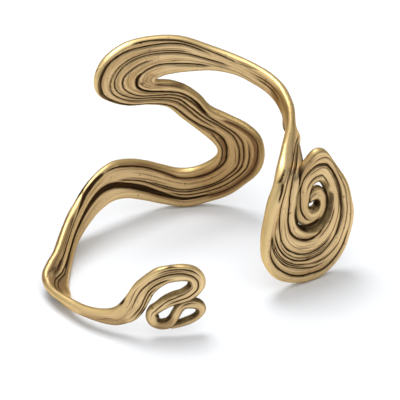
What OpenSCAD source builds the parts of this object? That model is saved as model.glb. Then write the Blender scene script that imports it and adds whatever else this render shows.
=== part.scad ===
/* [Cuff] */
// Half of the cuff's length, measured to the middle of its wall
half_length = 30; // [28:0.5:32]
// Half of the cuff's depth, measured to the middle of its wall
half_depth = 24.5; // [23:0.5:26]
// Height of the highest point above the surface that the cuff rests on
cuff_height = 47.3; // [45:0.1:50]

/* [Ribbon] */
// Depth of the grooves between the flutes
flute_depth = 0.28; // [0.1:0.02:0.3]
// Widest spacing of the cross sections along the ribbon
section_step = 3; // [3:0.2:5]

/* [Spiral] */
// Distance of the spiral's eye to the right of the cuff's middle
eye_x = 21.9; // [21:0.1:23]
// Distance of the spiral's face in front of the cuff's middle
eye_y = 21.1; // [20:0.1:22]
// Height of the spiral's eye
eye_z = 20.7; // [20:0.1:21.5]
// Turn of the spiral's face about the upright, from the cuff's length
face_turn = -4; // [-8:1:0]

/* [Hidden] */

// Ridges of a face between its two rims
ridges = 4;
// Along a section: how far in a rim's groove lies, in radii of the rim
rim_foot = 1.75;
// Radius of the lower rim, in thicknesses of the ribbon
lower_rim = 0.53;
// Height of a rim's shoulder, in radii of the rim
shoulder = 0.72;
// Height of the ridges above the ribbon's middle, in thicknesses
ridge_height = 0.47;
// Widest share of a section that its two rims take up
rims_share = 0.94;
// Half pitch of the ridges below which the grooves get shallower
full_pitch = 0.5;
// Squareness of the plain rounded section of the rod
squareness = 2.4;
// Height in the tables of the surface that the cuff rests on
floor_height = 0.25;
// Roundness of the spiral's inner edge
inner_roundness = 0.12;

// The spiral, from the stem inwards. Angles run about the eye, left side 180.
// angle, outer radius, inner radius, thickness, outer rim radius, outer edge's
// roundness
coil_table = [
    [143, 13.2, 5.8, 2.3, 1.6, 0.3],
    [160, 12.7, 5.1, 2.3, 1.6, 0.3],
    [180, 12.9, 4.8, 2.3, 1.5, 0.3],
    [200, 14.5, 4.9, 2.2, 1.4, 0.3],
    [220, 17.1, 5.4, 2.3, 1.3, 0.3],
    [240, 19.3, 5.9, 2.4, 1.2, 0.3],
    [260, 20.22, 6.25, 2.4, 1.1, 0.3],
    [278, 20.3, 6.25, 2.4, 1.1, 0.3],
    [296, 18.2, 5.5, 2.4, 1.1, 0.3],
    [314, 14.9, 4.7, 2.3, 1.1, 0.3],
    [332, 12.6, 4.1, 2.2, 1.0, 0.3],
    [350, 10.6, 3.8, 2.2, 1.0, 0.3],
    [370, 9.7, 3.7, 2.2, 1.0, 0.3],
    [390, 9.5, 3.8, 2.2, 1.0, 0.3],
    [410, 10.0, 4.3, 2.2, 1.0, 0.3],
    [425, 11.4, 5.0, 2.2, 1.0, 0.3],
    [434, 12.9, 5.5, 2.2, 1.0, 0.3],
    [442, 14.1, 5.9, 2.1, 1.0, 0.3],
    [450, 14.2, 5.7, 2.1, 1.0, 0.3],
    [459, 12.8, 5.0, 2.1, 1.0, 0.3],
    [471, 10.9, 3.6, 2.1, 0.9, 0.25],
    [485, 8.2, 2.5, 2.1, 0.9, 0.2],
    [503, 6.1, 1.8, 2.1, 0.9, 0.15],
    [525, 5.2, 1.5, 2.1, 0.9, 0.15],
    [550, 5.1, 1.1, 2.1, 0.9, 0.15],
    [575, 5.15, 0.95, 2.2, 0.9, 0.15],
    [600, 5.25, 0.9, 2.3, 0.9, 0.15],
    [628, 5.25, 0.9, 2.4, 0.9, 0.15],
    [656, 4.7, 0.8, 2.3, 0.9, 0.15],
    [684, 4, 0.65, 2.2, 0.9, 0.15],
    [712, 3.65, 0.6, 2.1, 0.9, 0.15],
    [740, 3.7, 0.65, 2.1, 0.9, 0.15],
    [768, 4.2, 0.9, 2.1, 0.9, 0.15],
    [796, 4.6, 1.15, 2.1, 0.9, 0.15],
    [818, 4, 1.2, 2.0, 0.7, 0.2],
    [842, 2.8, 1.2, 1.6, 0.5, 0.3],
    [860, 1.7, 1.1, 0.8, 0.3, 0.3],
];

// The ribbon along the wall: stem, top run, left turn, middle run, right
// turn, bottom run, left wall, foot, rod, strap and loops. Turns are degrees
// about the cuff's middle, from its right end and over its back.
// lower turn, lower height, lower offset, upper turn, upper height,
// upper offset, thickness, upper rim radius, edges' roundness, grooves' share
ribbon_table = [
    // stem, from the spiral over the front of the right side
    [-51.3, 28.7, 1.15, -64.2, 30.2, -2.4, 2.4, 1.6, 0.3, 0.7],
    [-46.3, 30.9, 0.4, -58.9, 32.2, -3.25, 2.4, 1.6, 0.3, 0.6],
    [-35, 31.3, -1.2, -45.3, 34.2, -4.1, 2.4, 1.5, 0.3, 0.5],
    [-25.8, 31.0, -1.4, -32.3, 35.0, -4.3, 2.6, 1.5, 0.3, 0.5],
    [-16.6, 30.8, -3.0, -20.4, 35.8, -2.1, 2.5, 1.4, 0.3, 0.5],
    [-7.7, 32.0, -1.9, -10.4, 36.7, -1.4, 2.4, 1.4, 0.3, 0.6],
    // top run
    [3, 33.2, -0.8, 1.6, 38.1, -0.3, 2.3, 1.3, 0.3, 0.7],
    [12, 34.2, 0, 11, 39.3, 0, 2.2, 1.2, 0.3, 0.8],
    [20, 35.3, 0, 20, 40.4, 0, 2.2, 1.2, 0.3, 0.8],
    [31, 36.8, 0, 31, 41.8, 0, 2.1, 1.1, 0.3, 1],
    [43, 37.4, 0, 43, 43.6, 0, 2.1, 1.1, 0.3, 1],
    [54, 37.2, 0, 58, 46.4, 0, 2.1, 1.1, 0.3, 1],
    [63, 37.0, 0, 72, 47.4, 0, 2.1, 1.1, 0.3, 1],
    // left turn about the inner notch
    [68, 36.6, 0, 85, 47.2, 0, 2.1, 1.1, 0.3, 1],
    [69.5, 36.4, 0, 95.8, 45.0, 0, 2.1, 1.1, 0.3, 1],
    [70, 36.2, 0, 101, 41.2, 0, 2.1, 1.1, 0.3, 1],
    [70, 36.0, 0, 99.8, 36.9, 0, 2.1, 1.1, 0.3, 1],
    [69.5, 35.8, 0, 93, 33.5, 0, 2.1, 1.1, 0.3, 1],
    // middle run
    [67, 35.6, 0, 84, 30.9, 0, 2.1, 1.1, 0.3, 1],
    [62, 35.0, 0, 74, 29.8, 0, 2.1, 1.1, 0.3, 1],
    [55.5, 33.4, 0, 65, 28.3, 0, 2.1, 1.1, 0.3, 1],
    [49, 30.7, 0, 58.5, 25.1, 0, 2.1, 1.1, 0.3, 1],
    [44, 27.8, 0, 51.5, 21.9, 0, 2.1, 1.1, 0.3, 1],
    [35, 25.8, 0, 45.5, 19.3, 0, 2.1, 1.1, 0.3, 1],
    // right turn
    [25, 24.1, 0, 42, 17.6, 0, 2.1, 1.1, 0.3, 1],
    [17.5, 21.8, 0, 40.7, 16.4, 0, 2.1, 1.1, 0.3, 1],
    [14.5, 18.3, 0, 40.6, 15.5, 0, 2.1, 1.1, 0.3, 1],
    [15.2, 14.5, 0, 41.2, 14.7, 0, 2.1, 1.1, 0.3, 1],
    [18.7, 11.2, 0, 42.6, 13.8, 0, 2.1, 1.1, 0.3, 1],
    [25.5, 7.7, 0, 45, 12.8, 0, 2.1, 1.1, 0.3, 1],
    // bottom run
    [34.3, 3.9, 0, 49, 11.6, 0, 2.1, 1.1, 0.3, 1],
    [45.5, 1.4, 0, 54.5, 10.8, 0, 2.1, 1.1, 0.3, 1],
    [56, 0.25, 0, 61, 11.2, 0, 2.1, 1.1, 0.3, 1],
    [66.5, 1.6, 0, 68.5, 12.9, 0, 2.1, 1.1, 0.3, 1],
    [77, 4.0, 0, 76, 14.8, 0, 2.1, 1.1, 0.3, 1],
    [86, 6.0, 0, 84, 16.4, -0.1, 2.1, 1.1, 0.3, 1],
    [94, 6.6, 0, 92.5, 17.3, -0.4, 2.1, 1.1, 0.3, 1],
    // left wall
    [102, 5.6, 0, 101.5, 16.7, -0.8, 2.1, 1.1, 0.3, 1],
    [109, 3.6, 0.2, 110.5, 15.2, -1.2, 2.1, 1.1, 0.3, 1],
    [115.5, 1.8, 0.1, 119, 13.2, -1.4, 2.1, 1.1, 0.3, 1],
    [122, 0.7, -0.5, 127, 11.0, -1.2, 2.1, 1.1, 0.3, 1],
    [131, 0.45, -1.8, 136, 9.2, -1.1, 2.1, 1.1, 0.3, 1],
    [141, 0.5, -2.7, 145, 7.6, -0.5, 2.1, 1.1, 0.3, 1],
    // foot
    [151, 0.55, -3.0, 151, 6.4, 1.1, 2.1, 1.1, 0.3, 1],
    [160, 0.7, -3.0, 156, 5.0, 2.5, 2.1, 1.1, 0.3, 0.8],
    [168, 1.1, -2.8, 162, 4.1, 2.5, 2.1, 1.1, 0.3, 0.6],
    [175, 1.6, -1.6, 170, 4.2, 1.8, 2.1, 1.1, 0.3, 0.3],
    // rod
    [182, 2.1, -0.6, 180, 4.6, 0.7, 2.2, 1.1, 0.3, 0],
    [190, 2.5, 0, 190, 5.0, 0, 2.2, 1.1, 0.3, 0],
    [198, 2.6, 0, 198, 5.5, 0, 2.2, 1.1, 0.3, 0],
    // strap
    [205, 2.6, 0, 205, 6.3, 0, 2.1, 1.1, 0.3, 0.3],
    [211, 2.8, 0, 210, 7.4, 0, 2.0, 1.1, 0.3, 0.7],
    [216, 3.7, 0, 213.5, 9.2, 0, 1.9, 1.0, 0.3, 1],
    [220.5, 4.9, 0, 216.8, 11.6, 0, 1.8, 0.9, 0.3, 1],
    [224.3, 7.2, 0, 220, 14.3, 0, 1.8, 0.9, 0.3, 1],
    // top strand of the loops
    [227.5, 10.6, 0, 225, 16.7, 0, 1.8, 0.8, 0.2, 1],
    [230, 12.9, 0, 230, 18.5, 0, 1.9, 0.8, 0.2, 1],
    [235, 14.8, 0, 236, 19.1, 0, 1.9, 0.8, 0.2, 1],
    [240.5, 15.1, 0, 242.5, 19.0, 0, 1.9, 0.8, 0.2, 1],
    // first end turn
    [243.3, 14.8, 0, 248, 17.8, 0, 1.9, 0.8, 0.2, 0.8],
    [244.0, 14.2, 0, 251.3, 15.4, 0, 1.9, 0.8, 0.2, 0.7],
    [243.8, 13.6, 0, 251.6, 12.8, 0, 1.9, 0.8, 0.2, 0.7],
    [242.8, 13.1, 0, 249.4, 11.1, 0, 1.9, 0.8, 0.2, 0.7],
    // strand under the first hole
    [240.5, 12.5, 0, 246, 9.7, 0, 1.9, 0.8, 0.2, 0.6],
    [237, 12.1, 0, 241.8, 9.1, 0, 1.9, 0.8, 0.2, 0.6],
    [233, 11.1, 0, 237, 8.6, 0, 1.9, 0.8, 0.2, 0.6],
    [229.5, 9.6, 0, 232.8, 7.5, 0, 1.8, 0.8, 0.2, 0.6],
    // turn about the second hole
    [226.4, 8.3, 0, 230.4, 6.4, 0, 1.8, 0.8, 0.2, 0.6],
    [225, 6.3, 0, 231.2, 5.9, 0, 1.9, 0.8, 0.2, 0.6],
    [226, 4.4, 0, 231.5, 5.1, 0, 1.9, 0.8, 0.2, 0.6],
    [228.6, 3.2, 0, 232.8, 5.0, 0, 1.9, 0.8, 0.2, 0.6],
    [232.6, 2.6, 0, 234.6, 5.3, 0, 1.9, 0.8, 0.2, 0.6],
    // middle strand
    [236.7, 3.0, 0, 235.8, 6.1, 0, 1.9, 0.8, 0.2, 0.6],
    [239.3, 4.6, 0, 237.2, 7.5, 0, 1.8, 0.8, 0.2, 0.6],
    [240.9, 6.3, 0, 238.8, 8.9, 0, 1.8, 0.8, 0.2, 0.6],
    [242.4, 7.4, 0, 241.3, 9.9, 0, 1.8, 0.8, 0.2, 0.6],
    // over the third hole
    [244.2, 7.5, 0, 244.8, 10.0, 0, 1.7, 0.8, 0.2, 0.5],
    [246.4, 7.2, 0, 248.6, 9.5, 0, 1.7, 0.8, 0.2, 0.5],
    [247.5, 6.7, 0, 251.2, 8.2, 0, 1.7, 0.8, 0.2, 0.5],
    [247.6, 6.1, 0, 252, 6.5, 0, 1.7, 0.8, 0.2, 0.5],
    [246.8, 5.6, 0, 250.3, 5.0, 0, 1.7, 0.8, 0.2, 0.5],
    // under the third hole, to the tip
    [245, 5.2, 0, 246.8, 3.7, 0, 1.7, 0.8, 0.2, 0.4],
    [242.2, 4.8, 0, 243, 3.1, 0, 1.7, 0.8, 0.2, 0.4],
    [239.5, 4.3, 0, 239.3, 2.8, 0, 1.7, 0.8, 0.2, 0.4],
    [237.6, 3.8, 0, 237, 2.6, 0, 1.4, 0.7, 0.25, 0.2],
    [236.6, 3.2, 0, 236.2, 2.7, 0, 0.8, 0.3, 0.3, 0],
];

// Point on the cuff's oval wall
function wall_point(turn, height, offset) =
    [(half_length + offset) * cos(turn), (half_depth + offset) * sin(turn),
     height - floor_height];

// Point on the spiral's flat face
function face_point(angle, radius) =
    let (across = radius * cos(angle))
    [eye_x + across * cos(face_turn), across * sin(face_turn) - eye_y,
     eye_z - floor_height + radius * sin(angle)];

// A section row: lower edge, middle, upper edge, thickness, upper rim radius,
// roundness of the lower and upper edges, grooves' share
coil_rows = [
    for (row = coil_table)
        let (inner = face_point(row[0], row[2]), outer = face_point(row[0], row[1]))
        [inner, (inner + outer) / 2, outer, row[3], row[4], inner_roundness, row[5], 1]
];
ribbon_rows = [
    for (row = ribbon_table)
        [wall_point(row[0], row[1], row[2]),
         wall_point((row[0] + row[3]) / 2, (row[1] + row[4]) / 2, (row[2] + row[5]) / 2),
         wall_point(row[3], row[4], row[5]), row[6], row[7], row[8], row[8], row[9]]
];
rows = concat([for (i = [len(coil_rows) - 1:-1:0]) coil_rows[i]], ribbon_rows);

// Smooth curve through four rows, between the middle two
function blend(before, start, end, after, t) =
    (2 * start + (end - before) * t + (2 * before - 5 * start + 4 * end - after) * t * t
     + (3 * start - before - 3 * end + after) * t * t * t) / 2;

function row_at(i) = rows[max(0, min(len(rows) - 1, i))];
function steps_after(i) =
    ceil(max(norm(rows[i + 1][0] - rows[i][0]), norm(rows[i + 1][2] - rows[i][2])) / section_step);

// Sections along the ribbon, and the number of the section at each row
stations = concat(
    [for (i = [0:len(rows) - 2], k = [0:steps_after(i) - 1])
        blend(row_at(i - 1), row_at(i), row_at(i + 1), row_at(i + 2), k / steps_after(i))],
    [rows[len(rows) - 1]]);

function station_at(i) = stations[max(0, min(len(stations) - 1, i))];
function unit(v) = v / norm(v);

// Direction in which the ribbon's outer face looks at a section
function face_normal(i) =
    unit(cross(station_at(i + 1)[1] - station_at(i - 1)[1], stations[i][2] - stations[i][0]));

// Point of a section, a share of the way across and a height off its middle
function section_point(s, normal, share, height) =
    s[0] * (1 - share) * (1 - 2 * share) + s[1] * 4 * share * (1 - share)
    + s[2] * share * (2 * share - 1) + normal * height;

// Height of a plain rounded section, a share of the way across
function plain_height(share, thick) =
    0.5 * thick * pow(1 - pow(abs(2 * share - 1), squareness), 1 / squareness);

// One face of a section: share across and height, over rim, grooves and rim
function face_profile(width, thick, rim, round_a, round_b, grooves) =
    let (
        rim_a = lower_rim * thick,
        squeeze = min(1, rims_share * width / (rim_foot * (rim_a + rim))),
        from = squeeze * rim_foot * rim_a / width,
        to = 1 - squeeze * rim_foot * rim / width,
        pitch = (to - from) / (2 * ridges),
        cut = flute_depth * min(1, pitch * width / full_pitch),
        fluted = concat(
            [[round_a * squeeze * rim_a / width, shoulder * rim_a], [squeeze * rim_a / width, rim_a]],
            [for (j = [0:2 * ridges])
                [from + j * pitch, ridge_height * thick - (j % 2 == 0 ? cut : 0)]],
            [[1 - squeeze * rim / width, rim], [1 - round_b * squeeze * rim / width, shoulder * rim]]
        )
    )
    [for (p = fluted) [p[0], p[1] * grooves + plain_height(p[0], thick) * (1 - grooves)]];

// Closed outline of a section: lower edge, outer face, upper edge, inner face
function section(i) =
    let (
        s = stations[i],
        normal = face_normal(i),
        profile = face_profile(norm(s[2] - s[0]), s[3], s[4], s[5], s[6], s[7]),
        last = len(profile) - 1
    )
    concat(
        [s[0]],
        [for (p = profile) section_point(s, normal, p[0], p[1])],
        [s[2]],
        [for (j = [last:-1:0]) section_point(s, normal, profile[j][0], -profile[j][1])]
    );

sections = [for (i = [0:len(stations) - 1]) section(i)];
ring = len(sections[0]);

// A stretch of the ribbon between two sections, closed at both ends
module stretch(first, last) {
    count = last - first;
    half = ring / 2;
    points = [for (i = [first:last]) each sections[i]];
    sides = [
        for (i = [0:count - 1], j = [0:ring - 1])
            let (a = i * ring + j, b = i * ring + (j + 1) % ring)
            each [[a, b, b + ring], [a, b + ring, a + ring]]
    ];
    ladder = [
        for (j = [0:half - 1])
            let (a = j, b = j + 1, c = (ring - j) % ring, d = ring - j - 1)
            each (j == 0 ? [[a, d, b]] : j == half - 1 ? [[a, c, b]] : [[a, c, d], [a, d, b]])
    ];
    end_ladder = [for (f = ladder) [f[0], f[2], f[1]] + count * ring * [1, 1, 1]];
    polyhedron(points = points, faces = concat(sides, ladder, end_ladder), convexity = 10);
}

// The whole cuff, cast in one piece. Stretches are short, so that none meets
// itself, and neighbours share a section.
module cuff() {
    stretch_length = 4;
    last = len(stations) - 1;
    color("darkgoldenrod")
        resize([0, 0, cuff_height])
            union() {
                for (first = [0:stretch_length:last - 1])
                    stretch(first, min(last, first + stretch_length));
            }
}

cuff();
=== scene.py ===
import math

import bpy
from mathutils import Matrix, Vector


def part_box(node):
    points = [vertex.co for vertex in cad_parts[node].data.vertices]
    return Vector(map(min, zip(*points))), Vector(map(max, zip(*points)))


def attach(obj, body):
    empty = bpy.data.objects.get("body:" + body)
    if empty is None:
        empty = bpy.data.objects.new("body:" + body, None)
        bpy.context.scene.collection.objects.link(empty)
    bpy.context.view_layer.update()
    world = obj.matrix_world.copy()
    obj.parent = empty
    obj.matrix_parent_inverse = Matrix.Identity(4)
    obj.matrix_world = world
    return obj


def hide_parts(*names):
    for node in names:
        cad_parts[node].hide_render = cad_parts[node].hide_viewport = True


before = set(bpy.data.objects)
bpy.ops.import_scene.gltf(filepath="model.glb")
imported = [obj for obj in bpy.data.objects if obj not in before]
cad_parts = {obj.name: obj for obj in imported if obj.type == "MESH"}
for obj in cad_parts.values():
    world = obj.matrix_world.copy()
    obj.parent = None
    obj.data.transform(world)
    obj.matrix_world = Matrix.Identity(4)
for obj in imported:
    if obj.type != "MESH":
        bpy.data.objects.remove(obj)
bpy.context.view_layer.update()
mm = 0.001
print("frame loaded")

# camera at the photograph's angle
viewCamera = {
    "place": (-0.2721, -0.3829, 0.32375),
    "target": (0.0040, -0.0029, 0.01875),
    "lens": 224.3,
    "sensor": 36.0,
    "nearest": 0.05,
}


def aim(item, place, target):
    item.location = place
    look = Vector(target) - Vector(place)
    item.rotation_euler = look.to_track_quat("-Z", "Y").to_euler()


def makeCamera(settings):
    data = bpy.data.cameras.new("photoCamera")
    data.lens = settings["lens"]
    data.sensor_width = settings["sensor"]
    data.clip_start = settings["nearest"]
    camera = bpy.data.objects.new("photoCamera", data)
    bpy.context.scene.collection.objects.link(camera)
    aim(camera, settings["place"], settings["target"])
    bpy.context.scene.camera = camera


makeCamera(viewCamera)
print("camera placed")

# the ribbon that the whole cuff is made of, in millimetres and degrees
ribbon = {
    "halfLength": 30.0,
    "halfDepth": 24.5,
    "eye": (21.9, -21.1, 20.7),
    "faceTurn": -4.0,
    "floor": 0.25,
    "step": 0.66,  # widest spacing of the sections
    "beadPoints": 9,  # points of a quarter round at each edge
    "facePoints": 48,  # points of a face between its rims
    "fineCells": 140,  # cells that say where these points lie
    "pull": 5,  # how strongly a groove draws them, and from how far
    "pullReach": 0.32,
    "lowerRim": 0.53,  # shares of the thickness
    "plate": 0.47,
    "rimFoot": 1.75,  # a rim with its slope, in breadths of the rim
    "rimSlope": 0.6,  # how much further the slope runs out
    "rimsTogether": 0.94,  # most of the width that both rims take
    "rimFade": 0.75,  # how fast the bare metal of a rim ends
    "innerRoundness": 0.12,
    "fullRoundness": 0.3,
    "squareness": 7.5,  # how much squarer a less round edge gets
    "plainPower": 2.4,  # roundness of the section where it has no relief
    "plainCut": 0.7,  # share of a groove's depth there
    "edgeRise": 4,  # grooves get shallow this fast towards an edge
    "lineWidth": 0.13,  # least half width of a dark line
    "lineGrowth": 0.35,  # what its depth adds
    "lineEdge": 2.6,  # sharpness of its sides
    "spread": 1.5,  # widens the sides of every groove
    "halo": 0.4,  # brown beside a groove, for its darkness
    "haloDepth": 0.25,  # depth from which a thin groove has all of it
    "haloLeast": 0.45,  # its least reach, or else its share of the groove's
    "haloReach": 0.7,
    "thinTail": 4.0,  # length over which a groove's ends fade
    "wideTail": 1.5,
    "tailStart": 0.03,
    "sideReach": 1.6,  # how far the painted shade of a side comes round the edge
    "tip": 0.35,
    "tipAngles": (30, 60, 90),
    "mapBreadth": 8,  # the ribbon's own map, and where its back starts
    "mapBack": 40,
    "mapScale": 0.01,
    "gridSize": 0.1,
    "mergeReach": 1e-8,
}

# angle, outer radius, inner radius, thickness, outer rim, outer roundness
coilTable = [
    (143, 13.2, 5.8, 2.3, 1.6, 0.3), (160, 12.7, 5.1, 2.3, 1.6, 0.3), (180, 12.9, 4.8, 2.3, 1.5, 0.3),
    (200, 14.5, 4.9, 2.2, 1.4, 0.3), (220, 17.1, 5.4, 2.3, 1.3, 0.3), (240, 19.3, 5.65, 2.5, 1.2, 0.3),
    (260, 20.22, 6.1, 2.4, 1.1, 0.3), (278, 20.3, 6.25, 2.4, 1.1, 0.3), (296, 18.2, 5.5, 2.4, 1.1, 0.3),
    (314, 14.9, 4.7, 2.3, 1.1, 0.3), (332, 12.6, 4.1, 2.2, 1, 0.3), (350, 10.6, 3.8, 2.2, 1, 0.3),
    (370, 9.7, 3.7, 2.2, 1, 0.3), (390, 9.5, 3.8, 2.2, 1, 0.3), (410, 10, 4.3, 2.2, 1, 0.3),
    (425, 11.4, 5, 2.2, 1, 0.3), (434, 12.9, 5.5, 2.2, 1, 0.3), (442, 14.1, 5.9, 2.1, 1, 0.3),
    (450, 14.2, 5.7, 2.1, 1, 0.3), (459, 12.8, 5.25, 2.1, 1, 0.3), (471, 10.9, 3.8, 2.1, 0.9, 0.25),
    (485, 8.2, 2.5, 2.1, 0.9, 0.2), (503, 6.1, 1.8, 2.1, 0.9, 0.15), (525, 5.2, 1.5, 2.1, 0.9, 0.15),
    (550, 5.1, 1.1, 2.1, 0.9, 0.15), (575, 5.2, 0.95, 2.3, 0.9, 0.15), (600, 5.52, 0.9, 2.4, 0.9, 0.15),
    (628, 5.5, 0.9, 2.4, 0.9, 0.15), (656, 4.7, 0.8, 2.3, 0.9, 0.15), (684, 4, 0.65, 2.2, 0.9, 0.15),
    (712, 3.65, 0.6, 2.1, 0.9, 0.15), (740, 3.7, 0.65, 2.1, 0.9, 0.15), (768, 4.2, 0.9, 2.1, 0.9, 0.15),
    (796, 4.6, 1.15, 2.1, 0.9, 0.15), (818, 4, 1.2, 2, 0.7, 0.2), (842, 2.8, 1.2, 1.6, 0.5, 0.3),
    (860, 1.7, 1.1, 0.8, 0.3, 0.3),
]

# lower turn, height, upper turn, height, then where they aren't the plain
# ones: thickness, upper rim, relief's share, edges' roundness, both offsets
bandPlain = (2.1, 1.1, 1, 0.3, 0, 0)
bandTable = [
    (-51.3, 28.7, -64.2, 30.2, 2.4, 1.6, 0.7, 0.3, 1.15, -2.4),
    (-46.3, 30.9, -58.9, 32.2, 2.4, 1.6, 0.4, 0.3, 0.4, -3.25),
    (-35, 31.3, -45.3, 34.2, 2.4, 1.5, 0.15, 0.3, -1.2, -4.1),
    (-25.8, 31, -32.4, 35, 2.6, 1.5, 0.15, 0.3, -1.4, -3.84),
    (-16.6, 30.8, -20.2, 35.8, 2.5, 1.4, 0.15, 0.3, -3, -2.39),
    (-7.7, 32, -10.4, 36.7, 2.4, 1.4, 0.4, 0.3, -1.9, -1.4), (3, 33.2, 1.6, 38.1, 2.3, 1.3, 0.7, 0.3, -0.8, -0.3),
    (12, 34.2, 11, 39.3, 2.2, 1.2, 0.8), (20, 35.3, 20, 40.4, 2.2, 1.2, 0.8), (31, 36.8, 31, 41.8),
    (43, 37.4, 43, 43.6), (54, 37.2, 58, 46.4), (63, 37, 72, 47.4), (68, 36.6, 85, 47.2), (69.5, 36.4, 95.8, 45),
    (70, 36.2, 101, 41.2), (70, 36, 99.8, 36.9), (69.5, 35.8, 93, 33.5), (67, 35.6, 84, 30.9), (62, 35, 74, 29.8),
    (55.5, 33.4, 65, 28.3), (49, 30.7, 58.5, 25.1), (44, 27.8, 51.5, 21.9), (35, 25.8, 45.5, 19.3),
    (25, 24.1, 42, 17.6), (17.5, 21.8, 40.7, 16.4), (14.5, 18.3, 40.6, 15.5), (15.2, 14.5, 41.2, 14.7),
    (18.7, 11.2, 42.6, 13.8), (25.5, 7.7, 45, 12.8), (34.3, 3.9, 49, 11.6), (45.5, 1.4, 54.5, 10.8),
    (56, 0.25, 61, 11.2), (66.5, 1.6, 68.5, 12.9), (77, 4, 76, 14.8), (86, 6, 84, 16.4, 2.1, 1.1, 1, 0.3, 0, -0.1),
    (94, 6.6, 92.5, 17.3, 2.1, 1.1, 1, 0.3, 0, -0.4), (102, 5.6, 101.5, 16.7, 2.1, 1.1, 1, 0.3, 0, -0.8),
    (109, 3.6, 110.5, 15.2, 2.1, 1.1, 1, 0.3, 0.2, -1.2), (115.5, 1.8, 119, 13.2, 2.1, 1.1, 1, 0.3, 0.1, -1.4),
    (122, 0.7, 127, 11, 2.1, 1.1, 1, 0.3, -0.5, -1.2), (131, 0.45, 136, 9.2, 2.1, 1.1, 1, 0.3, -1.8, -1.1),
    (141, 0.5, 145, 7.6, 2.1, 1.1, 1, 0.3, -2.7, -0.5), (151, 0.55, 151, 6.4, 2.1, 1.1, 1, 0.3, -3, 1.1),
    (160, 0.7, 156, 5, 2.1, 1.1, 0.8, 0.3, -3, 2.5), (168, 1.1, 162, 4.1, 2.1, 1.1, 0.6, 0.3, -2.8, 2.5),
    (175, 1.6, 170, 4.2, 2.1, 1.1, 0.3, 0.3, -1.6, 1.8), (182, 2.1, 180, 4.6, 2.2, 1.1, 0, 0.3, -0.6, 0.7),
    (190, 2.5, 190, 5, 2.2, 1.1, 0), (198, 2.6, 198, 5.5, 2.2, 1.1, 0), (205, 2.6, 205, 6.3, 2.1, 1.1, 0.3),
    (211, 2.8, 210, 7.4, 2, 1.1, 0.7), (216, 3.7, 213.5, 9.2, 1.9, 1), (220.5, 4.9, 216.8, 11.6, 1.8, 0.9),
    (224.3, 7.2, 220, 14.3, 1.8, 0.9), (227.5, 10.6, 225, 16.7, 1.8, 0.8, 1, 0.2),
    (230, 12.9, 230, 18.5, 1.9, 0.8, 1, 0.2), (235, 14.8, 236, 19.1, 1.9, 0.8, 1, 0.2),
    (240.5, 15.1, 242.5, 19, 1.9, 0.8, 1, 0.2), (243.3, 14.8, 248, 17.8, 1.9, 0.8, 0.8, 0.2),
    (244, 14.2, 251.3, 15.4, 1.9, 0.8, 0.7, 0.2), (243.8, 13.6, 251.6, 12.8, 1.9, 0.8, 0.7, 0.2),
    (242.8, 13.1, 249.4, 11.1, 1.9, 0.8, 0.7, 0.2), (240.5, 12.5, 246, 9.7, 1.9, 0.8, 0.6, 0.2),
    (237, 12.1, 241.8, 9.1, 1.9, 0.8, 0.6, 0.2), (233, 11.1, 237, 8.6, 1.9, 0.8, 0.6, 0.2),
    (229.5, 9.6, 232.8, 7.5, 1.8, 0.8, 0.6, 0.2), (226.4, 8.3, 230.4, 6.4, 1.8, 0.8, 0.6, 0.2),
    (225, 6.3, 231.2, 5.9, 1.9, 0.8, 0.6, 0.2), (226, 4.4, 231.5, 5.1, 1.9, 0.8, 0.6, 0.2),
    (228.6, 3.2, 232.8, 5, 1.9, 0.8, 0.6, 0.2), (232.6, 2.6, 234.6, 5.3, 1.9, 0.8, 0.6, 0.2),
    (236.7, 3, 235.8, 6.1, 1.9, 0.8, 0.6, 0.2), (239.3, 4.6, 237.2, 7.5, 1.8, 0.8, 0.6, 0.2),
    (240.9, 6.3, 238.8, 8.9, 1.8, 0.8, 0.6, 0.2), (242.4, 7.4, 241.3, 9.9, 1.8, 0.8, 0.6, 0.2),
    (244.2, 7.5, 244.8, 10, 1.7, 0.8, 0.5, 0.2), (246.4, 7.2, 248.6, 9.5, 1.7, 0.8, 0.5, 0.2),
    (247.5, 6.7, 251.2, 8.2, 1.7, 0.8, 0.5, 0.2), (247.6, 6.1, 252, 6.5, 1.7, 0.8, 0.5, 0.2),
    (246.8, 5.6, 250.3, 5, 1.7, 0.8, 0.5, 0.2), (245, 5.2, 246.8, 3.7, 1.7, 0.8, 0.4, 0.2),
    (242.2, 4.8, 243, 3.1, 1.7, 0.8, 0.4, 0.2), (239.5, 4.3, 239.3, 2.8, 1.7, 0.8, 0.4, 0.2),
    (237.6, 3.8, 237, 2.6, 1.4, 0.7, 0.2, 0.25), (236.6, 3.2, 236.2, 2.7, 0.8, 0.3, 0),
]

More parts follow.
